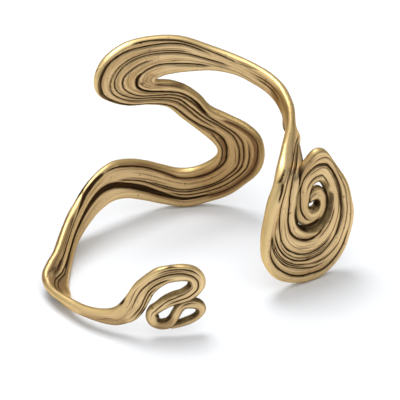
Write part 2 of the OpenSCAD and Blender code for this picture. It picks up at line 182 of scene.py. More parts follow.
# thin grooves: depth and half width in millimetres, darkness, (row, share
# across), the rows counted through both tables from the spiral's eye
thinGrooves = [
    # along the spiral's outer rim
    (0.14, 0.5, 0.5, [(19.5, 0.97), (20.3, 0.955), (21, 0.955), (22, 0.92), (23, 0.9), (24, 0.885), (25, 0.865),
        (25.5, 0.84), (26, 0.83), (27, 0.845), (28, 0.85)]),
    (0.4, 0.8, 1, [(26.5, 0.84), (27.5, 0.85), (28, 0.85), (28.5, 0.86), (29, 0.855), (29.5, 0.84), (30, 0.85),
        (30.5, 0.845), (31, 0.83), (31.5, 0.835), (32, 0.835), (32.4, 0.825), (32.9, 0.8)]),
    (0.18, 0.5, 0.6, [(16.5, 0.7), (17.5, 0.7), (18, 0.715), (18.4, 0.725), (18.8, 0.745), (19.2, 0.78), (19.6, 0.82),
        (20, 0.85), (20.5, 0.875), (21, 0.885), (21.5, 0.87), (22, 0.84), (22.5, 0.81), (23, 0.785), (24, 0.755),
        (25, 0.725), (25.5, 0.71), (26, 0.69), (27, 0.69), (28, 0.685), (28.5, 0.675)]),
    (0.22, 0.5, 0.9, [(27.3, 0.69), (28, 0.685), (28.5, 0.675), (29, 0.655), (29.5, 0.645), (30.2, 0.64)]),
    # fan of fine lines on its lowest turn
    (0.14, 0.35, 1, [(28.6, 0.69), (29.5, 0.71), (30, 0.7), (30.5, 0.7), (31, 0.71), (31.5, 0.725), (32, 0.74),
        (32.5, 0.765), (33, 0.8)]),
    (0.12, 0.3, 1, [(29.6, 0.67), (31, 0.675), (31.5, 0.69), (32, 0.71), (32.6, 0.74), (33, 0.77)]),
    (0.16, 0.35, 1, [(29.4, 0.63), (30.5, 0.64), (31, 0.645), (31.5, 0.655), (32, 0.67), (32.5, 0.7), (33, 0.735)]),
    (0.3, 0.5, 1, [(27.2, 0.495), (28, 0.505), (28.6, 0.51), (29, 0.52), (29.5, 0.535), (30, 0.56), (30.5, 0.575),
        (31, 0.58), (31.5, 0.59), (32, 0.605), (32.5, 0.63), (33, 0.67), (33.5, 0.705)]),
    (0.12, 0.3, 0.8, [(27.8, 0.49), (28.5, 0.465), (29, 0.47), (29.5, 0.49), (30, 0.505), (30.5, 0.52), (31, 0.525),
        (31.5, 0.54), (32, 0.55), (32.6, 0.57)]),
    (0.1, 0.3, 0.7, [(27.9, 0.44), (28.5, 0.43), (29, 0.435), (29.5, 0.455), (30, 0.475), (30.6, 0.495)]),
    (0.1, 0.35, 0.5, [(29.2, 0.3), (30, 0.335), (30.5, 0.355), (31, 0.365), (32, 0.37), (32.6, 0.38), (33.4, 0.4),
        (34.2, 0.42)]),
    (0.08, 0.3, 0.4, [(28.6, 0.25), (29.3, 0.27), (30, 0.29), (31, 0.31)]),
    # the long groove along the middle of every turn, with finer ones beside it
    (0.36, 0.9, 1, [(8.6, 0.44), (9, 0.5), (9.5, 0.57), (10, 0.595), (10.5, 0.6), (11, 0.59), (11.5, 0.6), (12, 0.61),
        (12.5, 0.64), (13, 0.67), (14, 0.72), (14.6, 0.745), (15, 0.74), (15.5, 0.71), (16, 0.67), (16.5, 0.625),
        (17, 0.58), (17.5, 0.55), (18, 0.54), (18.5, 0.54), (19, 0.555), (19.5, 0.595), (20, 0.645), (20.5, 0.67),
        (21, 0.685), (21.5, 0.69), (22, 0.67), (22.5, 0.64), (23, 0.6), (23.5, 0.565), (24, 0.53), (24.5, 0.505),
        (25, 0.49), (25.5, 0.48), (26, 0.48), (26.5, 0.49), (27, 0.49), (27.5, 0.5), (28.2, 0.505), (29.2, 0.53)]),
    (0.16, 0.4, 0.8, [(17, 0.52), (17.5, 0.5), (18, 0.495), (18.5, 0.49), (19, 0.51), (19.5, 0.55), (20, 0.6),
        (20.5, 0.62), (21, 0.635), (21.5, 0.63), (22, 0.605), (22.5, 0.565), (23, 0.525), (24, 0.475), (25, 0.45),
        (26, 0.43)]),
    (0.12, 0.4, 0.6, [(16, 0.5), (17, 0.455), (17.5, 0.43), (18, 0.41), (18.4, 0.415), (19, 0.45), (19.5, 0.49),
        (20, 0.53), (20.5, 0.56), (21, 0.56), (21.5, 0.555), (22, 0.54), (22.5, 0.5), (23, 0.47), (24, 0.42),
        (25, 0.4), (26, 0.37), (27, 0.36), (28, 0.355), (28.5, 0.355), (29, 0.36), (29.4, 0.38), (29.9, 0.42)]),
    (0.26, 0.6, 1, [(27.7, 0.4), (28.5, 0.395), (29, 0.4), (29.5, 0.42), (30, 0.445), (30.5, 0.455), (31, 0.46),
        (31.5, 0.48), (32, 0.49), (32.5, 0.51), (33, 0.53), (33.5, 0.555), (34, 0.585), (34.5, 0.6), (35, 0.61),
        (35.5, 0.62), (36, 0.645), (36.6, 0.665), (37, 0.66), (37.3, 0.6), (37.6, 0.53), (38, 0.475), (38.5, 0.45),
        (39.2, 0.42), (40, 0.38)]),
    # along its inner edges
    (0.2, 0.6, 0.8, [(14.8, 0.33), (15.5, 0.32), (16, 0.295), (16.5, 0.265), (17, 0.24), (17.5, 0.22), (18, 0.215),
        (18.5, 0.21), (19, 0.215), (19.3, 0.235), (19.7, 0.255), (20.2, 0.245), (21, 0.23), (22, 0.2), (22.6, 0.18)]),
    (0.22, 0.6, 0.9, [(25.2, 0.23), (26, 0.19), (26.5, 0.18), (27, 0.18), (27.5, 0.175), (28, 0.175), (28.5, 0.18),
        (29, 0.19), (29.5, 0.195)]),
    (0.38, 1.1, 1, [(27.8, 0.05), (28.5, 0.08), (29, 0.11), (29.3, 0.135), (29.7, 0.165), (30, 0.185), (30.5, 0.2),
        (31, 0.215), (31.5, 0.23), (32, 0.24), (32.5, 0.255), (33, 0.27), (33.5, 0.285), (34, 0.29), (35, 0.3),
        (35.5, 0.325), (36, 0.365), (36.5, 0.42), (36.9, 0.455), (37.2, 0.43), (37.5, 0.36), (38, 0.31), (38.6, 0.29),
        (39.4, 0.3)]),
    (0.12, 0.4, 0.6, [(7.6, 0.09), (8.3, 0.11), (9, 0.13), (9.5, 0.145), (10, 0.17), (10.5, 0.2), (11, 0.21),
        (11.5, 0.21), (12, 0.23), (12.5, 0.255), (13, 0.3), (13.6, 0.29)]),
    (0.08, 0.3, 0.4, [(11.8, 0.52), (12.5, 0.515), (13, 0.5), (13.6, 0.47)]),
    (0.14, 0.5, 0.8, [(35.2, 0.07), (36, 0.11), (36.4, 0.14), (36.8, 0.2), (37.1, 0.21), (37.4, 0.17)]),
    # stem and the start of the top run
    (0.18, 0.5, 0.9, [(42.6, 0.74), (43.2, 0.7), (44, 0.66), (44.8, 0.61), (45.4, 0.57)]),
    (0.2, 0.6, 1, [(42.3, 0.51), (43, 0.475), (44, 0.47), (44.7, 0.47), (45.2, 0.49)]),
    (0.1, 0.4, 0.4, [(41, 0.78), (43, 0.76), (45, 0.77), (46, 0.79)]),
    (0.08, 0.3, 0.4, [(44, 0.22), (45, 0.25), (46.5, 0.3), (48, 0.36), (49, 0.38)]),
    (0.12, 0.4, 0.6, [(44.4, 0.98), (45, 0.9), (45.6, 0.8), (46, 0.71), (46.4, 0.62)]),
    (0.1, 0.35, 0.5, [(45, 0.98), (45.5, 0.9), (45.9, 0.81), (46.3, 0.72)]),
    # top run, left turn and middle run
    (0.34, 0.8, 1, [(46.9, 0.7), (47.3, 0.76), (47.6, 0.795), (48, 0.825), (48.4, 0.83), (49, 0.82), (49.5, 0.82),
        (49.9, 0.84), (50.5, 0.88), (51, 0.895), (52, 0.92), (54, 0.925), (55.5, 0.925), (56, 0.92), (56.8, 0.89),
        (57.3, 0.855), (57.8, 0.825), (58.3, 0.825), (59, 0.77), (59.5, 0.72), (60, 0.69), (60.5, 0.69), (61, 0.72),
        (61.5, 0.755), (62, 0.78), (63, 0.8), (64, 0.785), (65, 0.75), (66, 0.725), (67, 0.745), (68, 0.765),
        (69, 0.79), (70, 0.845), (71, 0.865), (72, 0.86), (72.5, 0.87), (73, 0.895), (73.6, 0.93), (74, 0.95)]),
    (0.2, 0.6, 0.7, [(59.3, 0.73), (59.7, 0.74), (60, 0.765), (60.5, 0.815), (61, 0.855), (62, 0.875), (63, 0.88),
        (64, 0.865), (65, 0.83), (65.6, 0.79), (66.3, 0.76), (67, 0.77)]),
    (0.08, 0.4, 0.3, [(47.6, 0.66), (48, 0.68), (49, 0.7), (50, 0.73)]),
    (0.22, 0.5, 0.8, [(47.6, 0.6), (48.1, 0.62), (49, 0.645), (50, 0.66), (51, 0.69), (52, 0.73), (53, 0.775),
        (54, 0.8), (55, 0.78), (56, 0.745), (56.6, 0.7), (57.1, 0.65), (57.7, 0.61), (58.4, 0.605), (59.2, 0.57),
        (60.2, 0.54)]),
    (0.26, 0.6, 0.9, [(46.1, 0.42), (46.8, 0.465), (47.3, 0.5), (47.8, 0.54), (48.2, 0.565), (49, 0.59), (50, 0.61),
        (51.5, 0.645), (52.5, 0.68), (53, 0.69), (54, 0.705), (55, 0.69), (56, 0.66), (56.5, 0.61), (57, 0.55),
        (57.3, 0.51), (58, 0.5), (59, 0.45), (60, 0.43), (61, 0.47), (62, 0.53), (63, 0.54), (64, 0.52), (65, 0.47),
        (66, 0.445), (68, 0.46), (69, 0.47), (70, 0.5), (71, 0.53)]),
    (0.26, 0.6, 0.9, [(49.2, 0.45), (50, 0.46), (51, 0.475), (52, 0.525), (53, 0.56), (54, 0.585), (55, 0.6),
        (56, 0.56), (56.5, 0.48), (57, 0.42), (57.5, 0.36), (58, 0.33), (59, 0.32), (60, 0.36), (61, 0.38),
        (62, 0.42), (63, 0.45), (64, 0.43), (65, 0.39), (66, 0.375), (67, 0.405), (69, 0.42), (70, 0.45), (71, 0.5),
        (72, 0.5), (73, 0.55)]),
    (0.26, 0.6, 1, [(46.9, 0.235), (47.6, 0.25), (48, 0.26), (48.5, 0.275), (49, 0.3), (49.5, 0.31), (50, 0.295),
        (51, 0.28), (52, 0.3), (53, 0.33), (54, 0.385), (55.3, 0.425), (56, 0.42), (56.5, 0.36), (57, 0.3),
        (58, 0.23), (59, 0.245), (59.5, 0.26)]),
    (0.24, 0.8, 0.7, [(59.5, 0.27), (59.9, 0.2), (60.3, 0.16), (61, 0.145), (62, 0.11), (62.5, 0.1), (63, 0.13),
        (64, 0.155), (66, 0.155), (67, 0.175), (68, 0.21), (69, 0.23)]),
    (0.14, 0.8, 0.5, [(49.5, 0.1), (54, 0.1), (55, 0.12), (56.5, 0.13), (57.5, 0.08)]),
    (0.1, 0.35, 0.4, [(51, 0.17), (52.5, 0.18), (53.5, 0.2), (54.5, 0.21), (55.5, 0.24), (56.2, 0.24)]),
    (0.08, 0.3, 0.4, [(51.5, 0.22), (52.5, 0.24), (53.5, 0.26), (54.5, 0.28), (55.5, 0.31)]),
    (0.1, 0.35, 0.4, [(51, 0.6), (52, 0.63), (53, 0.645), (54, 0.66), (55, 0.65)]),
    (0.1, 0.35, 0.4, [(61.5, 0.6), (62.5, 0.62), (63.5, 0.61), (64.5, 0.57), (65.5, 0.53)]),
    (0.2, 0.5, 0.9, [(61.6, 0.28), (62.4, 0.31), (63, 0.325), (64, 0.31), (65, 0.285), (66, 0.275), (67, 0.3),
        (68, 0.325), (69, 0.345), (70, 0.37)]),
    (0.1, 0.4, 0.4, [(65, 0.62), (66.5, 0.6), (68, 0.62), (70, 0.68), (72, 0.7)]),
    (0.1, 0.4, 0.5, [(70.3, 0.8), (71, 0.8), (72, 0.79), (73, 0.81), (73.5, 0.84)]),
    (0.1, 0.4, 0.5, [(69.5, 0.56), (70.5, 0.58), (71.5, 0.56), (72.5, 0.56)]),
    # left wall and foot
    (0.34, 0.6, 1, [(78.4, 0.39), (79.3, 0.385), (79.7, 0.39), (80, 0.4), (80.5, 0.47), (81, 0.545), (81.5, 0.61),
        (82, 0.665), (82.5, 0.695), (83.2, 0.7), (84, 0.7)]),
    (0.28, 0.5, 1, [(78.6, 0.34), (79.3, 0.305), (79.6, 0.29), (80, 0.295), (80.5, 0.36), (81, 0.43), (81.5, 0.49),
        (82, 0.53), (82.6, 0.545), (83.3, 0.55)]),
    (0.16, 0.4, 0.8, [(76.2, 0.99), (76.6, 0.975), (77, 0.95), (77.5, 0.91), (78, 0.88), (78.6, 0.85), (79.3, 0.8)]),
    (0.1, 0.4, 0.4, [(73.5, 0.72), (74.5, 0.8), (75.5, 0.8), (76.5, 0.74), (77.5, 0.65), (78.5, 0.58)]),
    (0.1, 0.4, 0.4, [(73.5, 0.3), (75, 0.33), (76.5, 0.3), (78, 0.24), (79, 0.22)]),
    (0.14, 0.5, 0.6, [(79.6, 0.66), (80, 0.7), (80.5, 0.79), (81, 0.85), (81.6, 0.93), (82.1, 0.98)]),
    (0.08, 0.4, 0.4, [(81, 0.74), (81.6, 0.8), (82.4, 0.86), (83.2, 0.88)]),
    # strap and loops
    (0.16, 0.5, 0.8, [(89.2, 0.59), (89.6, 0.64), (90.3, 0.735), (91, 0.815), (91.5, 0.865)]),
    (0.24, 0.5, 1, [(89.4, 0.39), (89.8, 0.43), (90.2, 0.5), (90.5, 0.56), (91, 0.625), (91.5, 0.67), (92, 0.655),
        (92.5, 0.625), (93, 0.595), (93.5, 0.58), (94, 0.57), (95, 0.535), (95.5, 0.495), (96, 0.48), (96.5, 0.485),
        (97, 0.515), (98, 0.555), (98.7, 0.6), (99.3, 0.605), (100, 0.6), (101, 0.62), (102, 0.66), (102.8, 0.73)]),
    (0.28, 0.5, 1, [(89.2, 0.18), (90, 0.23), (91, 0.25), (91.3, 0.3), (91.6, 0.34), (92, 0.39), (92.5, 0.36),
        (93, 0.33), (94, 0.28), (94.6, 0.25)]),
    (0.26, 0.5, 1, [(89.5, 0.1), (90.3, 0.12), (91, 0.14), (91.5, 0.18), (92, 0.245), (92.5, 0.22), (93, 0.18),
        (93.5, 0.15)]),
    (0.08, 0.35, 0.4, [(88.2, 0.36), (89, 0.4), (89.8, 0.52), (90.4, 0.64), (91, 0.72)]),
    (0.1, 0.35, 0.5, [(91.2, 0.44), (91.8, 0.5), (92.4, 0.5), (93, 0.47), (94, 0.43), (95, 0.39)]),
    (0.1, 0.45, 0.5, [(86, 0.2), (86.8, 0.4), (87.4, 0.52), (88, 0.44), (88.6, 0.3)]),
    (0.18, 0.45, 1, [(92.6, 0.78), (93.2, 0.8), (93.7, 0.83), (94.3, 0.825), (95, 0.79), (95.5, 0.765), (96, 0.745),
        (96.5, 0.74), (97, 0.725), (97.5, 0.73)]),
    (0.12, 0.35, 0.7, [(92.4, 0.7), (93.2, 0.7), (94, 0.71), (94.8, 0.68), (95.4, 0.65), (96, 0.64)]),
    (0.16, 0.4, 0.9, [(93, 0.87), (93.3, 0.92), (93.8, 0.965), (94.3, 0.965), (94.7, 0.93), (95.1, 0.86)]),
    (0.18, 0.45, 0.9, [(96.6, 0.12), (97.3, 0.165), (98, 0.22), (99, 0.225), (100, 0.24), (101, 0.31), (102, 0.35),
        (103, 0.45), (103.6, 0.53), (104, 0.49), (104.5, 0.45), (105, 0.4), (105.7, 0.37)]),
    (0.08, 0.35, 0.5, [(100.3, 0.44), (101, 0.455), (101.7, 0.48), (102.5, 0.52)]),
    (0.18, 0.5, 0.9, [(103.8, 0.92), (104.3, 0.84), (104.9, 0.76), (105.4, 0.69), (106, 0.61)]),
    (0.14, 0.4, 0.8, [(106, 0.36), (107, 0.33), (108, 0.34), (108.6, 0.36)]),
    (0.12, 0.4, 0.7, [(107.6, 0.8), (108.3, 0.7), (108.9, 0.62), (109.5, 0.58)]),
    (0.16, 0.4, 0.9, [(110, 0.16), (110.6, 0.2), (111, 0.27), (111.8, 0.25), (112.5, 0.24), (113.5, 0.25)]),
    (0.16, 0.45, 0.9, [(110.5, 0.5), (111.5, 0.56), (112.5, 0.6), (113.4, 0.65), (114, 0.635), (115, 0.62)]),
    (0.1, 0.35, 0.7, [(111, 0.74), (112, 0.8), (113, 0.78), (114, 0.74)]),
    (0.14, 0.4, 0.8, [(115.5, 0.12), (117, 0.16), (118.2, 0.26), (119, 0.24)]),
]

# wide grooves with a flat dark floor, a few of them painted shade in gaps and
# creases: depth, half width of a side, darkness, (row, lower share, upper share)
wideGrooves = [
    # spiral
    (0.16, 0.5, 0.55, [(22.5, 0.64, 0.655), (23.5, 0.565, 0.6), (24.5, 0.505, 0.55), (25.5, 0.485, 0.54),
        (26.5, 0.49, 0.545), (27.3, 0.495, 0.54), (27.9, 0.51, 0.53)]),
    # painted shadow along the inner edge, where the next inner turn's outer edge lies close, on a shallow cut
    (0.22, 0.5, 0.6, [(22.5, 0.1, 0.12), (23, 0.07, 0.15), (23.5, 0.05, 0.19), (24.3, 0.03, 0.18), (25, 0.02, 0.15),
        (26, 0.02, 0.13), (27, 0.02, 0.11), (28, 0.01, 0.09), (28.6, 0.04, 0.1)]),
    # painted shadow in the gap between the outer turn's inner edge and the next turn
    (0.1, 0.5, 0.95, [(30.6, 0, 0.01), (31.5, 0, 0.03), (32, 0, 0.05), (32.6, 0, 0.07), (33.2, 0, 0.08),
        (33.8, 0, 0.085), (34.3, 0, 0.075), (34.8, 0, 0.03)]),
    (0.2, 0.5, 0.75, [(27.9, 0.04, 0.06), (29, 0.1, 0.125), (29.7, 0.15, 0.18), (30.5, 0.185, 0.215),
        (31.5, 0.215, 0.24), (33, 0.26, 0.28), (34.2, 0.29, 0.3)]),
    (0.1, 0.4, 0.7, [(32.2, 0.74, 0.76), (32.6, 0.73, 0.79), (32.9, 0.75, 0.8), (33.2, 0.78, 0.8)]),
    # painted shade where the coil's outer edge meets the stem
    (0.1, 0.5, 0.9, [(14.8, 0.94, 0.98), (15.2, 0.89, 1), (15.7, 0.91, 1), (16.2, 0.96, 1)]),
    # painted shade along the outer edges of the innermost turns, in the narrow gaps around the eye
    (0.1, 0.5, 0.9, [(3.9, 0.93, 1), (4.5, 0.86, 1), (5.5, 0.8, 1), (6.3, 0.8, 1), (7, 0.9, 1)]),
    (0.2, 0.5, 1, [(7.8, 0.88, 1), (8.3, 0.74, 1), (9, 0.74, 1), (9.5, 0.82, 1), (10, 0.9, 1), (10.5, 0.97, 1)]),
    # band
    (0.14, 0.5, 0.9, [(45.9, 0.75, 0.755), (46.6, 0.81, 0.82), (47, 0.845, 0.855), (47.5, 0.873, 0.888),
        (48, 0.897, 0.912), (48.6, 0.922, 0.934), (49.3, 0.942, 0.948), (49.9, 0.955, 0.958)]),
    (0.16, 0.5, 0.65, [(49.9, 0.83, 0.85), (50.4, 0.86, 0.895), (51, 0.885, 0.935), (52, 0.905, 0.955),
        (53, 0.92, 0.97), (54, 0.93, 0.97), (55, 0.925, 0.955), (56, 0.91, 0.93)]),
    (0.3, 0.6, 1, [(50.8, 0.275, 0.285), (52, 0.29, 0.315), (53, 0.32, 0.345), (54, 0.37, 0.395), (55, 0.405, 0.43),
        (55.7, 0.415, 0.435), (56.3, 0.38, 0.4), (57, 0.295, 0.31)]),
    (0.24, 0.4, 0.9, [(56.8, 0.31, 0.32), (57.2, 0.275, 0.295), (57.6, 0.24, 0.265), (58, 0.24, 0.27),
        (58.4, 0.255, 0.285), (58.8, 0.265, 0.285), (59.2, 0.275, 0.28)]),
    (0.42, 0.5, 0.95, [(67.6, 0.205, 0.21), (68.4, 0.215, 0.235), (69, 0.215, 0.25), (69.5, 0.22, 0.27),
        (70, 0.235, 0.31), (70.4, 0.245, 0.34), (71, 0.265, 0.38), (71.6, 0.285, 0.395), (72, 0.305, 0.41),
        (72.5, 0.34, 0.45), (73, 0.385, 0.5), (73.5, 0.435, 0.56), (74, 0.47, 0.6), (74.5, 0.475, 0.615),
        (75, 0.455, 0.61), (76, 0.4, 0.55), (76.5, 0.37, 0.5), (77, 0.345, 0.46), (78, 0.32, 0.42), (79, 0.31, 0.4),
        (79.6, 0.31, 0.39)]),
    (0.14, 0.5, 0.95, [(73.7, 0.93, 0.95), (74.3, 0.945, 0.975), (75, 0.945, 0.985), (75.6, 0.93, 0.985),
        (76, 0.89, 0.96), (76.5, 0.83, 0.905), (77, 0.775, 0.84), (77.5, 0.735, 0.795), (78, 0.7, 0.755),
        (78.5, 0.68, 0.73), (79, 0.665, 0.71), (79.5, 0.65, 0.69), (80, 0.635, 0.66), (80.4, 0.62, 0.63)]),
    (0.12, 0.5, 0.9, [(36.4, 0.06, 0.12), (36.8, 0.1, 0.2), (37.1, 0.12, 0.21), (37.4, 0.1, 0.17)]),
    (0.16, 0.5, 0.95, [(35.1, 0.79, 0.8), (35.6, 0.79, 0.825), (36, 0.8, 0.84), (36.4, 0.81, 0.85),
        (36.9, 0.83, 0.86)]),
    (0.16, 0.5, 0.95, [(36.5, 0.97, 0.99), (36.8, 0.91, 0.95), (37.1, 0.86, 0.9), (37.4, 0.81, 0.85),
        (37.8, 0.76, 0.79)]),
    (0.1, 0.5, 0.9, [(88.6, 0.98, 1), (89.2, 0.93, 0.99), (89.5, 0.935, 0.99), (89.9, 0.98, 1)]),
    (0.1, 0.5, 0.9, [(90.4, 0.01, 0.03), (90.8, 0.02, 0.07), (91.2, 0.02, 0.08), (91.6, 0.01, 0.04)]),
]

# brown bands in shallow hollows, a few of them painted shade: depth, half width
# of a side, strength, (row, lower share, upper share)
brownBands = [
    # spiral and stem
    (0.06, 0.5, 0.6, [(19.8, 0.17, 0.23), (20.5, 0.15, 0.22), (21.5, 0.13, 0.21), (22.5, 0.12, 0.18)]),
    (0.04, 0.6, 0.5, [(33, 0.56, 0.64), (33.6, 0.58, 0.67), (34.2, 0.6, 0.66)]),
    # painted shade in the crease where the coil's outer edge meets the stem
    (0, 0.6, 0.4, [(15, 0.8, 1), (16, 0.76, 1), (17, 0.76, 1), (18.2, 0.8, 1)]),
    (0, 0.8, 0.45, [(39.9, 0.3, 0.6), (40.4, 0.1, 0.85), (41, 0, 0.9), (42, 0, 0.85), (42.6, 0.1, 0.75),
        (43.1, 0.3, 0.65), (43.8, 0.42, 0.55)]),
    # left turn, middle run and right turn
    (0.06, 0.7, 0.7, [(54.4, 0.11, 0.12), (55, 0.115, 0.15), (55.7, 0.12, 0.165), (56.3, 0.07, 0.13),
        (57, 0.02, 0.06)]),
    (0.1, 0.6, 0.85, [(59.8, 0.17, 0.2), (60.5, 0.12, 0.19), (61, 0.11, 0.19), (62, 0.08, 0.17), (63, 0.1, 0.17),
        (64, 0.11, 0.2), (66, 0.11, 0.2), (67, 0.14, 0.22), (68, 0.18, 0.26)]),
    (0.08, 0.5, 0.8, [(60.3, 0.69, 0.72), (61, 0.74, 0.8), (62, 0.79, 0.86), (63, 0.81, 0.86), (64, 0.8, 0.85),
        (65, 0.76, 0.81), (66, 0.73, 0.76), (67, 0.74, 0.775), (68, 0.76, 0.79)]),
    (0.14, 0.4, 0.9, [(68.9, 0.79, 0.81), (69.4, 0.82, 0.86), (70, 0.85, 0.9), (71, 0.87, 0.92), (72, 0.87, 0.9),
        (73, 0.9, 0.92)]),
    # left wall, foot and strap
    # brown on the outer rim of the left wall and foot, partly painted shade that dulls the rim's highlight
    (0, 0.8, 0.55, [(76.6, 0.95, 1), (77.5, 0.88, 1), (78.3, 0.82, 1), (79, 0.78, 1), (79.8, 0.8, 1), (80.8, 0.88, 1),
        (82.2, 0.96, 1)]),
    (0.03, 0.8, 0.7, [(79, 0.7, 0.74), (79.8, 0.62, 0.74), (80.4, 0.64, 0.78), (81, 0.74, 0.82)]),
    # painted shade on the lower side of the rod
    (0, 0.8, 0.5, [(85, 0.2, 0.3), (86, 0.18, 0.42), (87, 0.12, 0.48), (88, 0.1, 0.36), (89.5, 0.05, 0.2)]),
    (0, 0.6, 0.2, [(98.6, 0.66, 0.9), (100.5, 0.6, 0.9), (102, 0.7, 0.9)]),
    (0, 0.6, 0.5, [(106, 0.4, 0.75), (107.5, 0.36, 0.9), (109, 0.42, 0.8), (110, 0.55, 0.7)]),
]


# every groove as depth, half width, darkness, brown halo, knots of its middle,
# knots of its half breadth (or none) and the length over which its ends fade
def grooveLines():
    lines = []
    halo = ribbon["halo"]
    for depth, reach, dark, knots in thinGrooves:
        brown = halo * dark * min(1.0, depth / ribbon["haloDepth"])
        lines.append((depth, reach, dark, brown, knots, None, ribbon["thinTail"]))
    for table in (wideGrooves, brownBands):
        for depth, reach, strength, knots in table:
            dark, brown = (strength, halo * strength) if table is wideGrooves else (0.0, strength)
            middle = [(row, (a + b) / 2) for row, a, b in knots]
            half = [(row, (b - a) / 2) for row, a, b in knots]
            lines.append((depth, reach, dark, brown, middle, half, ribbon["wideTail"]))
    return lines


# point on the flat face of the spiral
def facePoint(angle, radius):
    turn = math.radians(ribbon["faceTurn"])
    across = radius * math.cos(math.radians(angle))
    eye = ribbon["eye"]
    return Vector((eye[0] + across * math.cos(turn), eye[1] + across * math.sin(turn),
                   eye[2] - ribbon["floor"] + radius * math.sin(math.radians(angle))))


# point on the oval wall of the band
def wallPoint(turn, height, offset):
    turn = math.radians(turn)
    return Vector(((ribbon["halfLength"] + offset) * math.cos(turn),
                   (ribbon["halfDepth"] + offset) * math.sin(turn), height - ribbon["floor"]))


# a row is its lower edge, middle, upper edge and five plain numbers, flat
def ribbonRows():
    rows = []
    for angle, outer, inner, thick, rim, roundness in reversed(coilTable):
        low, high = facePoint(angle, inner), facePoint(angle, outer)
        rows.append([*low, *((low + high) / 2), *high,
                     thick, rim, ribbon["innerRoundness"], roundness, 1.0])
    for lowTurn, lowHeight, highTurn, highHeight, *rest in bandTable:
        rest += bandPlain[len(rest):]
        thick, rim, relief, roundness, lowOffset, highOffset = rest
        low, high = (lowTurn, lowHeight, lowOffset), (highTurn, highHeight, highOffset)
        middle = [(a + b) / 2 for a, b in zip(low, high)]
        rows.append([*wallPoint(*low), *wallPoint(*middle), *wallPoint(*high),
                     thick, rim, roundness, roundness, relief])
    return rows


# smooth curve through the rows, cut into short steps, with each section's row
def ribbonStations(rows):
    out = []
    last = len(rows) - 1
    for i in range(last):
        before, start, end, after = rows[max(0, i - 1)], rows[i], rows[i + 1], rows[min(last, i + 2)]
        reach = max((Vector(end[k:k + 3]) - Vector(start[k:k + 3])).length for k in (0, 6))
        count = max(2, math.ceil(reach / ribbon["step"]))
        for k in range(count):
            t = k / count
            out.append((i + t, [
                (2 * q + (r - p) * t + (2 * p - 5 * q + 4 * r - s) * t * t
                 + (3 * q - p - 3 * r + s) * t ** 3) / 2
                for p, q, r, s in zip(before, start, end, after)]))
    out.append((last, rows[last]))
    return out


# value at x on straight lines through the knots
def between(knots, x):
    if x <= knots[0][0]:
        return knots[0][1]
    for (xa, ya), (xb, yb) in zip(knots, knots[1:]):
        if x <= xb:
            return ya + (yb - ya) * (x - xa) / (xb - xa)
    return knots[-1][1]


def smooth(x):
    x = max(0.0, min(1.0, x))
    return x * x * (3 - 2 * x)


# value at x on a smooth curve through the knots
def curveAt(knots, x):
    last = len(knots) - 1
    i = 0
    while i < last - 1 and x > knots[i + 1][0]:
        i += 1
    slopes = []
    for k in (i, i + 1):
        a, b = knots[max(0, k - 1)], knots[min(last, k + 1)]
        slopes.append((b[1] - a[1]) / (b[0] - a[0]))
    (xa, ya), (xb, yb) = knots[i], knots[i + 1]
    span = xb - xa
    t = (x - xa) / span
    return (ya * (1 + 2 * t) * (1 - t) ** 2 + yb * t * t * (3 - 2 * t)
            + span * t * (1 - t) * (slopes[0] * (1 - t) - slopes[1] * t))


# grooves that a section has: share, depth, half width, darkness, brown, half breadth
def groovesAt(lines, row, along, alongOf):
    found = []
    for depth, reach, dark, brown, line, breadth, tail in lines:
        if row < line[0][0] or row > line[-1][0]:
            continue
        inside = min(along - alongOf(line[0][0]), alongOf(line[-1][0]) - along)
        fade = smooth(inside / tail + ribbon["tailStart"])
        flat = curveAt(breadth, row) if breadth else 0.0
        found.append((curveAt(line, row), depth * fade, reach, dark * fade, brown * fade, max(0.0, flat)))
    return found


